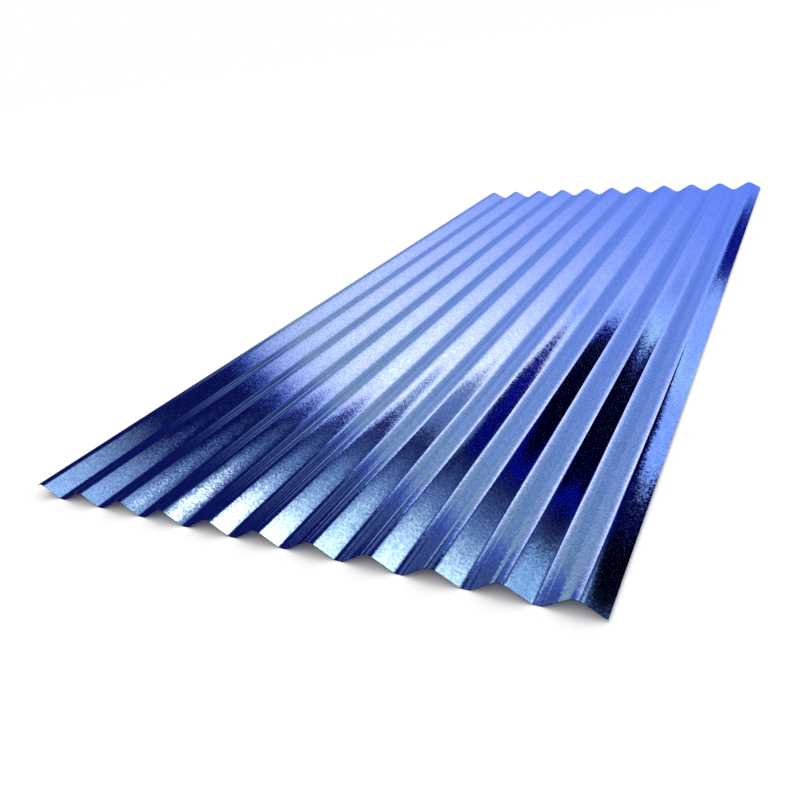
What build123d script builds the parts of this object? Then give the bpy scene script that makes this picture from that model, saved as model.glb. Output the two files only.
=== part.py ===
"""Corrugated galvanised steel roofing sheet, lying flat with its valleys on the floor.

One length of cold-rolled sheet: a wave of equal crests and valleys runs straight from end to end.
The section is a run of tangent arcs joined by straight flanks, at one constant thickness.
X runs across the corrugations, Y along them and Z up; the origin is under the middle of the sheet.
"""

import os
from math import asin, atan2, cos, degrees, hypot, radians, sin

from build123d import *

# Driving dimensions, in millimetres
LENGTH = 1800.0  # along the corrugations
PITCH = 76.0  # from one crest to the next
DEPTH = 18.0  # from the top of a crest to the top of a valley
THICKNESS = 0.5  # steel with its zinc coating
BEND_RADIUS = 15.0  # of the sheet's mid-plane, at crests and valleys alike
CRESTS = 11  # across the sheet
LAP_LIP = 7.6  # sheet beyond the first crest, on the edge that laps over its neighbour
TUCK_LIP = 30.4  # sheet beyond the last crest, on the edge that tucks under the next sheet

# Places that follow from them
WIDTH = LAP_LIP + (CRESTS - 1) * PITCH + TUCK_LIP
FIRST_CREST = LAP_LIP - WIDTH / 2
VALLEY_HEIGHT = THICKNESS / 2  # of the mid-plane, with the underside on the floor
ROLLED_WAVES = CRESTS + 2  # one more on each side than the slit width keeps


def flank_angle():
    """Slope, in degrees, of the straight flanks that are tangent to the arcs of crest and valley."""
    quarter_wave = PITCH / 4
    rise = BEND_RADIUS - DEPTH / 2
    return degrees(asin(BEND_RADIUS / hypot(quarter_wave, rise)) - atan2(rise, quarter_wave))


def flank_length(angle):
    """Straight sheet between the end of one bend and the start of the next."""
    slope = radians(angle)
    return 2 * (PITCH / 4 - BEND_RADIUS * sin(slope)) / cos(slope)


def section():
    """Cross-section of the rolled strip: the wave's mid-plane, thickened to both sides."""
    angle = flank_angle()
    flank = flank_length(angle)
    strip_edge = (FIRST_CREST - 1.5 * PITCH, VALLEY_HEIGHT)
    with BuildSketch(Plane.XZ) as strip:
        with BuildLine():
            bend = JernArc(start=strip_edge, tangent=(1, 0), radius=BEND_RADIUS, arc_size=angle)
            for _ in range(ROLLED_WAVES):
                rise = PolarLine(start=bend @ 1, length=flank, angle=angle)
                crest = JernArc(start=rise @ 1, tangent=rise % 1, radius=BEND_RADIUS, arc_size=-2 * angle)
                fall = PolarLine(start=crest @ 1, length=flank, angle=-angle)
                bend = JernArc(start=fall @ 1, tangent=fall % 1, radius=BEND_RADIUS, arc_size=2 * angle)
            offset(amount=THICKNESS / 2, side=Side.BOTH, mode=Mode.REPLACE)
        make_face()
    return strip.sketch


def corrugated_sheet():
    """The rolled strip, sheared square at both ends and slit to width along both edges."""
    rolled = extrude(section(), amount=LENGTH / 2, both=True)
    kept_width = Box(WIDTH, LENGTH, 2 * (DEPTH + THICKNESS))
    return rolled & kept_width


def main():
    os.makedirs("parts", exist_ok=True)
    export_step(corrugated_sheet(), "parts/corrugated_sheet.step")


main()
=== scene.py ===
"""Corrugated galvanised steel sheet lying on a pale studio floor, seen over its near right corner.

Everything is in metres, in the part's own frame: X across the corrugations, Y along them, Z up.
"""

from math import asin, atan2, copysign, cos, hypot, pi, radians, sin, tan

import bmesh
import bpy
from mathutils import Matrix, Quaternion, Vector, noise


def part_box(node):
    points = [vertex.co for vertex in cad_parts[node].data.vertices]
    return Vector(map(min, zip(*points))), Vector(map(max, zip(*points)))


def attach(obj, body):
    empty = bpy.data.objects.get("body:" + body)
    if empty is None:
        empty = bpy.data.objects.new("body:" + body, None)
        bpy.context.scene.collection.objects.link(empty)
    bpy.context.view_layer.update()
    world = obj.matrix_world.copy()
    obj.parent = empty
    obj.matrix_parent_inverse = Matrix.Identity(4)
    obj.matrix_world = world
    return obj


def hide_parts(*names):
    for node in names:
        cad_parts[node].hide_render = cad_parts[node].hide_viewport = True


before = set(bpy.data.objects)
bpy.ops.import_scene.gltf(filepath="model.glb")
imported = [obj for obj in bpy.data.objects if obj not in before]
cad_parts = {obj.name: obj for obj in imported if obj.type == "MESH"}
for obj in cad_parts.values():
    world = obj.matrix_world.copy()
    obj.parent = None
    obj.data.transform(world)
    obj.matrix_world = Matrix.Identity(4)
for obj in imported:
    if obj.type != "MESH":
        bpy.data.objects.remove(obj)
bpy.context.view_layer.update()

MM = 0.001
SHEET = "corrugated_sheet"
SHEET_LOW, SHEET_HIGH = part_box(SHEET)
LENGTH = SHEET_HIGH.y - SHEET_LOW.y
HEIGHT = SHEET_HIGH.z - SHEET_LOW.z

# The rolled wave
PITCH = 76 * MM
THICKNESS = 0.5 * MM
DEPTH = HEIGHT - THICKNESS
BEND_RADIUS = 15 * MM
LAP_LIP = 7.6 * MM
FIRST_CREST = SHEET_LOW.x + LAP_LIP
CRESTS = 11

# How finely its mesh is divided, and the fold in degrees from which an edge shows as sharp
BEND_STEPS = 10
FLANK_STRIPS = 3
LENGTH_STRIPS = 72
SHARP_FOLD = 40.0

# Rolled sheet is never dead flat: its flanks swell and sink a little along their length
SWELL_HEIGHT = 0.25 * MM
SWELL_LENGTH = 260 * MM
SWELL_WIDTH = 90 * MM

# Camera, fitted to the photograph's own view: angles in degrees, lens in millimetres
AIM = Vector((-0.016, -0.5185, 0.0))
CAMERA_AZIMUTH = 30.9
CAMERA_ELEVATION = 25.53
CAMERA_DISTANCE = 1.181
CAMERA_ROLL = 8.67
CAMERA_LENS = 33.62

# Floor, and the dark cloths that only the metal mirrors, each graded between two places
FLOOR_SIZE = 80.0
FLOOR_WHITE = "#F7F7F7"
CLOTH_NAVY = "#10185F"
CLOTH_BLACK = "#02023E"
CLOTH_BLUE = "#6A88EC"
CURTAIN_RADIUS = 70.0
CURTAIN_GRADED_X = (-16.5, 35.0)
MAT_HEIGHT = 0.05 * MM
MAT_GRADED_Y = (0.5, 0.85)

# Key lamp, weak and soft, for the shadow on the floor
KEY_AZIMUTH = -60.0
KEY_ELEVATION = 50.0
KEY_ANGLE = 35.0
KEY_ENERGY = 0.55


def linear(hex_colour):
    """Linear RGBA of an sRGB hex colour."""
    channels = [int(hex_colour[i:i + 2], 16) / 255 for i in (1, 3, 5)]
    return [c / 12.92 if c <= 0.04045 else ((c + 0.055) / 1.055) ** 2.4 for c in channels] + [1.0]


def towards(azimuth, elevation):
    """Unit vector: azimuth 0 is along +Y and 90 along +X, elevation is above the floor, in degrees."""
    turn, lift = radians(azimuth), radians(elevation)
    return Vector((sin(turn) * cos(lift), cos(turn) * cos(lift), sin(lift)))


def add_node(tree, kind, inputs=None, **settings):
    """Adds one node, sets it up, and fills its inputs with values or links."""
    node = tree.nodes.new(kind)
    for name, value in settings.items():
        setattr(node, name, value)
    for key, value in (inputs or {}).items():
        if isinstance(value, bpy.types.NodeSocket):
            tree.links.new(value, node.inputs[key])
        else:
            node.inputs[key].default_value = value
    return node


def new_material(name):
    """An empty node material and its output node."""
    material = bpy.data.materials.new(name)
    material.use_nodes = True
    material.node_tree.nodes.clear()
    return material, add_node(material.node_tree, "ShaderNodeOutputMaterial")


def new_object(name, bm, material):
    """Turns a bmesh into an object at the origin."""
    mesh = bpy.data.meshes.new(name)
    bm.to_mesh(mesh)
    bm.free()
    mesh.materials.append(material)
    piece = bpy.data.objects.new(name, mesh)
    bpy.context.collection.objects.link(piece)
    return piece


def galvanised_steel():
    """Hot-dip galvanised steel, freshly rolled: a bright bluish mirror broken up by zinc spangle.

    Each zinc crystal leans its own way and has its own shade, so the sheet looks finely grained where
    it reflects one even tone, and speckled where a reflection changes from light to dark.
    """
    material, output = new_material("hot_dip_galvanised_steel")
    tree = material.node_tree
    crystal_size = 2.1 * MM
    grain_size = 1.1 * MM
    place = add_node(tree, "ShaderNodeTexCoord").outputs["Object"]
    crystals = add_node(tree, "ShaderNodeTexVoronoi", {"Vector": place, "Scale": 1 / crystal_size})
    grains = add_node(tree, "ShaderNodeTexVoronoi", {"Vector": place, "Scale": 1 / grain_size})
    shade = add_node(tree, "ShaderNodeSeparateColor", {0: crystals.outputs["Color"]})

    # A crystal's random colour, less mid-grey, is the way it leans: more across the sheet than along it
    lean = (0.020, 0.013, 0.013)
    fine_lean = (0.008, 0.005, 0.005)
    mid_grey = (0.5, 0.5, 0.5)
    turned = add_node(tree, "ShaderNodeVectorMath", {
        0: crystals.outputs["Color"],
        1: mid_grey,
    }, operation="SUBTRACT")
    leaning = add_node(tree, "ShaderNodeVectorMath", {
        0: turned.outputs[0],
        1: lean,
    }, operation="MULTIPLY")
    ruffled = add_node(tree, "ShaderNodeVectorMath", {
        0: grains.outputs["Color"],
        1: mid_grey,
    }, operation="SUBTRACT")
    ruffling = add_node(tree, "ShaderNodeVectorMath", {
        0: ruffled.outputs[0],
        1: fine_lean,
    }, operation="MULTIPLY")
    both = add_node(tree, "ShaderNodeVectorMath", {
        0: leaning.outputs[0],
        1: ruffling.outputs[0],
    }, operation="ADD")
    outward = add_node(tree, "ShaderNodeNewGeometry").outputs["Normal"]
    tilted = add_node(tree, "ShaderNodeVectorMath", {0: outward, 1: both.outputs[0]}, operation="ADD")
    normal = add_node(tree, "ShaderNodeVectorMath", {0: tilted.outputs[0]}, operation="NORMALIZE")

    tones = add_node(tree, "ShaderNodeMix", {
        "Factor": shade.outputs["Red"],
        "A": linear("#ACC4D9"),
        "B": linear("#E4F6FF"),
    }, data_type="RGBA")
    roughness = add_node(tree, "ShaderNodeMapRange", {
        "Value": shade.outputs["Green"],
        "To Min": 0.04,
        "To Max": 0.08,
    })
    metal = add_node(tree, "ShaderNodeBsdfPrincipled", {
        "Base Color": tones.outputs["Result"],
        "Metallic": 1.0,
        "Roughness": roughness.outputs["Result"],
        "Normal": normal.outputs[0],
    })
    tree.links.new(metal.outputs[0], output.inputs["Surface"])
    return material


def flank_angle():
    """Slope of the straight flanks, tangent to the bends of crest and valley."""
    quarter_wave = PITCH / 4
    rise = BEND_RADIUS - DEPTH / 2
    return asin(BEND_RADIUS / hypot(quarter_wave, rise)) - atan2(rise, quarter_wave)


def bend(bm, end, slope, turn):
    """Spins the end of the line round one bend of the sheet's upper side, and returns its new end."""
    radius = BEND_RADIUS - copysign(THICKNESS / 2, turn)
    centre = end.co + copysign(radius, turn) * Vector((-sin(slope), 0, cos(slope)))
    spun = bmesh.ops.spin(bm, geom=[end], cent=centre, axis=(0, 1, 0), angle=-turn, steps=BEND_STEPS)
    return next(v for v in spun["geom_last"] if isinstance(v, bmesh.types.BMVert))


def flank(bm, end, slope):
    """Draws one straight flank on from the end of the line, and returns its new end."""
    length = 2 * (PITCH / 4 - BEND_RADIUS * sin(abs(slope))) / cos(slope)
    step = Vector((cos(slope), 0, sin(slope))) * length / FLANK_STRIPS
    for _ in range(FLANK_STRIPS):
        end = bmesh.ops.extrude_vert_indiv(bm, verts=[end])["verts"][0]
        end.co += step
    return end


def swell(bm):
    """Lets the flanks swell and sink, while crest and valley lines stay in the sheet's own height."""
    for vert in bm.verts:
        share = (vert.co.z - SHEET_LOW.z - THICKNESS) / DEPTH
        # None at crest and valley, one halfway up the flank
        freedom = max(0.0, 4 * share * (1 - share))
        place = Vector((vert.co.x / SWELL_WIDTH, vert.co.y / SWELL_LENGTH, 0.0))
        vert.co.z += SWELL_HEIGHT * freedom * noise.noise(place)


def corrugated_sheet(material):
    """The sheet as it is made: bends and flanks in turn, drawn out, slit to width and given its gauge."""
    angle = flank_angle()
    bm = bmesh.new()
    end = bm.verts.new((FIRST_CREST - PITCH / 2, SHEET_LOW.y, SHEET_LOW.z + THICKNESS))
    end = bend(bm, end, 0, angle)
    for _ in range(CRESTS):
        end = flank(bm, end, angle)
        end = bend(bm, end, angle, -2 * angle)
        end = flank(bm, end, -angle)
        end = bend(bm, end, -angle, 2 * angle)
    drawn = bmesh.ops.extrude_edge_only(bm, edges=bm.edges[:])["geom"]
    far_end = [v for v in drawn if isinstance(v, bmesh.types.BMVert)]
    bmesh.ops.translate(bm, verts=far_end, vec=(0, LENGTH, 0))
    along = [e for e in bm.edges if e.calc_length() > LENGTH / 2]
    bmesh.ops.subdivide_edges(bm, edges=along, cuts=LENGTH_STRIPS - 1, use_grid_fill=True)
    for edge_x, outward in ((SHEET_LOW.x, -1), (SHEET_HIGH.x, 1)):
        everything = bm.verts[:] + bm.edges[:] + bm.faces[:]
        bmesh.ops.bisect_plane(bm, geom=everything, plane_co=(edge_x, 0, 0), plane_no=(outward, 0, 0),
                               clear_outer=True)
    bmesh.ops.recalc_face_normals(bm, faces=bm.faces)
    if sum(f.normal.z for f in bm.faces) < 0:
        bmesh.ops.reverse_faces(bm, faces=bm.faces[:])
    swell(bm)
    bmesh.ops.solidify(bm, geom=bm.faces[:], thickness=THICKNESS)
    bmesh.ops.recalc_face_normals(bm, faces=bm.faces)
    for face in bm.faces:
        face.smooth = True
    for edge in bm.edges:
        edge.smooth = edge.calc_face_angle(pi) < radians(SHARP_FOLD)
    return new_object("sheet", bm, material)


def floor():
    """A plain pale studio floor."""
    material, output = new_material("pale_matt_floor")
    surface = add_node(material.node_tree, "ShaderNodeBsdfDiffuse", {"Color": linear(FLOOR_WHITE)})
    material.node_tree.links.new(surface.outputs[0], output.inputs["Surface"])
    bm = bmesh.new()
    bmesh.ops.create_grid(bm, x_segments=1, y_segments=1, size=FLOOR_SIZE / 2)
    new_object("studio_floor", bm, material)


def reflection_only(piece, material):
    """Makes a piece of the studio one that the metal mirrors, but that lights and shades nothing."""
    piece.visible_camera = False
    piece.visible_diffuse = False
    piece.visible_shadow = False
    material.cycles.emission_sampling = "NONE"


def graded_cloth(name, axis, limits, tones):
    """An evenly glowing cloth that changes from one tone to another between two limits along an axis."""
    material, output = new_material(name)
    tree = material.node_tree
    place = add_node(tree, "ShaderNodeTexCoord").outputs["Object"]
    parts = add_node(tree, "ShaderNodeSeparateXYZ", {0: place})
    along = add_node(tree, "ShaderNodeMapRange", {
        "Value": parts.outputs[axis],
        "From Min": limits[0],
        "From Max": limits[1],
    })
    colour = add_node(tree, "ShaderNodeMix", {
        "Factor": along.outputs["Result"],
        "A": linear(tones[0]),
        "B": linear(tones[1]),
    }, data_type="RGBA")
    glow = add_node(tree, "ShaderNodeEmission", {"Color": colour.outputs["Result"], "Strength": 1.0})
    tree.links.new(glow.outputs[0], output.inputs["Surface"])
    return material


def dark_mat():
    """What the metal mirrors of the floor: dark along the near cut edges, blue towards the far end."""
    cloth = graded_cloth("navy_mat", "Y", MAT_GRADED_Y, (CLOTH_BLACK, CLOTH_BLUE))
    bm = bmesh.new()
    bmesh.ops.create_grid(bm, x_segments=1, y_segments=1, size=FLOOR_SIZE / 2)
    mat = new_object("dark_mat", bm, cloth)
    mat.location.z = MAT_HEIGHT
    reflection_only(mat, cloth)


def dark_curtain():
    """A dark dome all round, for the deep tones in the metal: navy on the left, nearly black on the right."""
    cloth = graded_cloth("navy_curtain", "X", CURTAIN_GRADED_X, (CLOTH_NAVY, CLOTH_BLACK))
    bm = bmesh.new()
    bmesh.ops.create_uvsphere(bm, u_segments=64, v_segments=32, radius=CURTAIN_RADIUS)
    reflection_only(new_object("dark_curtain", bm, cloth), cloth)


def soft_round(tree, place, core, rim=1.0):
    """One in the core of a round patch, fading smoothly to nothing at its rim."""
    from_middle = add_node(tree, "ShaderNodeVectorMath", {0: place}, operation="LENGTH")
    fade = add_node(tree, "ShaderNodeMapRange", {
        "Value": from_middle.outputs["Value"],
        "From Min": core,
        "From Max": rim,
        "To Min": 1.0,
        "To Max": 0.0,
    }, interpolation_type="SMOOTHSTEP")
    return fade.outputs["Result"]


def edged(tree, place, core, rim, middle, edge):
    """The middle's colour in the core of a round patch, turning to the edge's colour at its rim."""
    tones = add_node(tree, "ShaderNodeMix", {
        "Factor": soft_round(tree, place, core, rim),
        "A": edge,
        "B": middle,
    }, data_type="RGBA")
    return tones.outputs["Result"]


def window_tones(tree, place):
    """A tall window, grey on its left and sky blue on its right, with a deep blue edge.

    Hazy sun whitens it from beyond its upper right. Places on the card run from -1 to 1.
    """
    parts = add_node(tree, "ShaderNodeSeparateXYZ", {0: place})
    across = add_node(tree, "ShaderNodeMapRange", {
        "Value": parts.outputs["X"],
        "From Min": -0.86,
        "From Max": 0.24,
    })
    sky = add_node(tree, "ShaderNodeMix", {
        "Factor": across.outputs["Result"],
        "A": linear("#6C7A8A"),
        "B": linear("#5069BF"),
    }, data_type="RGBA")
    sun_place = add_node(tree, "ShaderNodeMapping", {
        "Vector": place,
        "Location": (1.25, 0.89, 0.0),
        "Rotation": (0.0, 0.0, radians(10)),
        "Scale": (2.08, 0.54, 1.0),
    }, vector_type="TEXTURE").outputs["Vector"]
    sunlit = edged(tree, sun_place, core=0.0, rim=1.0, middle=linear("#FFF6F9"), edge=sky.outputs["Result"])
    return edged(tree, place, core=0.83, rim=0.96, middle=sunlit, edge=linear("#2A44A4"))


def softbox_tones(tree, place):
    """A big softbox: pale in its middle, deeper blue where it fades."""
    return edged(tree, place, core=0.72, rim=0.9, middle=linear("#BAD8F2"), edge=linear("#8CB0FF"))


def flag_tones(tree, place):
    """A dark flag: black, with a navy border."""
    return edged(tree, place, core=0.74, rim=0.9, middle=linear("#000020"), edge=linear("#080C94"))


def card(name, paint, direction, half_size, tilt, distance, core, strength=1.0):
    """An oval card before the curtain, even in its core and soft at its rim.

    Its direction (azimuth and elevation), half size and clockwise tilt are in degrees, as the sheet's
    middle sees them. Its paint is one colour, or a function that gives the colour all over it.
    """
    material, output = new_material(name)
    tree = material.node_tree
    place = add_node(tree, "ShaderNodeTexCoord").outputs["Object"]
    colour = paint(tree, place) if callable(paint) else linear(paint)
    face = add_node(tree, "ShaderNodeEmission", {"Color": colour, "Strength": strength})
    clear = add_node(tree, "ShaderNodeBsdfTransparent")
    rim = soft_round(tree, place, core)
    soft = add_node(tree, "ShaderNodeMixShader", {0: rim, 1: clear.outputs[0], 2: face.outputs[0]})
    tree.links.new(soft.outputs[0], output.inputs["Surface"])
    bm = bmesh.new()
    bmesh.ops.create_circle(bm, cap_ends=True, segments=48, radius=1.0)
    oval = new_object(name, bm, material)
    oval.location = towards(*direction) * distance
    oval.rotation_mode = "QUATERNION"
    facing = oval.location.to_track_quat("-Z", "Y")
    oval.rotation_quaternion = facing @ Quaternion((0, 0, 1), -radians(tilt))
    oval.scale = [distance * tan(radians(half)) for half in half_size] + [1.0]
    reflection_only(oval, material)


def front_cards():
    """What the metal mirrors in the photograph's view. A nearer card covers what is behind it."""
    # The even blue of the far end, and the pale blue of the tips on the left
    card("low_panel", "#90ABFF", direction=(26.3, 9.1), half_size=(41.1, 14.5), tilt=6,
         distance=32.0, core=0.94, strength=1.19)
    card("upper_panel", "#B2CDFF", direction=(-6, 72), half_size=(22, 17), tilt=0,
         distance=23.0, core=0.32, strength=1.2)

    # The white tips, fading to blue on the right
    card("overhead_softbox", softbox_tones, direction=(83.6, 57.7), half_size=(47.4, 36.2), tilt=0,
         distance=22.0, core=0.23, strength=3.86)
    card("side_strip", "#F4FCFF", direction=(45, 50), half_size=(18, 16), tilt=-31,
         distance=21.8, core=0.3, strength=2.2)
    card("strip_light", "#FFFFFF", direction=(40.6, 61.4), half_size=(19, 11.1), tilt=-21,
         distance=21.5, core=0.4, strength=4.3)
    card("corner_glow", "#A4CAFF", direction=(33.7, 34.7), half_size=(4.1, 4.1), tilt=0,
         distance=21.3, core=0.1)

    # The glow across the middle, with haze along its top and a pale patch to its right
    card("window_haze", "#505E97", direction=(-28, 37), half_size=(20, 9), tilt=-28,
         distance=55.0, core=0.4)
    card("window", window_tones, direction=(-25.5, -15.4), half_size=(35.2, 69), tilt=24.4,
         distance=21.0, core=0.85, strength=2.0)
    card("pale_patch", "#ACCBFC", direction=(18.6, 18.6), half_size=(5.6, 1.9), tilt=4,
         distance=20.9, core=0.3, strength=1.15)
    card("blue_haze", "#6C82C0", direction=(14.7, 35.4), half_size=(3.6, 4.2), tilt=0,
         distance=20.8, core=0.3)

    # The dark bands on the right, the dark near corner and the dark strip at the far right
    card("navy_flag", "#03076B", direction=(19.3, 30.1), half_size=(4.5, 6.0), tilt=32,
         distance=20.5, core=0.85)
    card("black_flag", flag_tones, direction=(20.7, 26.1), half_size=(8.1, 5.4), tilt=-42,
         distance=20.2, core=0.92)
    card("corner_flag", "#000012", direction=(35.2, 27.8), half_size=(4.4, 3.4), tilt=0,
         distance=20.1, core=0.7)
    card("strip_flag", "#030781", direction=(13.0, 11.25), half_size=(1.1, 3.2), tilt=48,
         distance=20.0, core=0.9)


def rear_cards():
    """What the metal mirrors when it is seen from its other sides."""
    card("rear_window", window_tones, direction=(160, 5), half_size=(40, 60), tilt=-20,
         distance=21.0, core=0.8, strength=2.0)
    card("rear_softbox", "#B7D5FF", direction=(-112, 48), half_size=(28, 30), tilt=0,
         distance=22.0, core=0.2, strength=2.6)
    card("rear_low_panel", "#90ABFF", direction=(-150, 6), half_size=(38, 16), tilt=0,
         distance=32.0, core=0.8, strength=1.1)
    card("right_low_panel", "#90ABFF", direction=(115, 8), half_size=(38, 16), tilt=0,
         distance=32.0, core=0.8, strength=1.1)


def key_lamp():
    """A weak, wide sun for the shadow on the floor, which the metal doesn't mirror."""
    key = bpy.data.objects.new("key_lamp", bpy.data.lights.new("key_lamp", "SUN"))
    key.data.energy = KEY_ENERGY
    key.data.angle = radians(KEY_ANGLE)
    key.rotation_mode = "QUATERNION"
    key.rotation_quaternion = towards(KEY_AZIMUTH, KEY_ELEVATION).to_track_quat("Z", "Y")
    key.visible_glossy = False
    bpy.context.collection.objects.link(key)


def studio():
    """White surroundings, a pale floor, a soft lamp for the shadow, and what the metal mirrors."""
    world = bpy.data.worlds.new("white_studio")
    bpy.context.scene.world = world
    world.use_nodes = True
    background = world.node_tree.nodes["Background"]
    background.inputs["Color"].default_value = linear("#FFFFFF")
    background.inputs["Strength"].default_value = 1.0
    floor()
    dark_mat()
    dark_curtain()
    front_cards()
    rear_cards()
    key_lamp()


def camera():
    """The photograph's own view, with its slight lean."""
    lens = bpy.data.cameras.new("camera")
    lens.lens = CAMERA_LENS
    view = bpy.data.objects.new("camera", lens)
    back = towards(180 - CAMERA_AZIMUTH, CAMERA_ELEVATION)
    view.location = AIM + back * CAMERA_DISTANCE
    view.rotation_mode = "QUATERNION"
    lean = Quaternion((0, 0, 1), -radians(CAMERA_ROLL))
    view.rotation_quaternion = (-back).to_track_quat("-Z", "Y") @ lean
    bpy.context.collection.objects.link(view)
    bpy.context.scene.camera = view


sheet = corrugated_sheet(galvanised_steel())
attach(sheet, "root")
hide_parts(SHEET)
studio()
camera()
bpy.context.scene.view_settings.view_transform = "Standard"
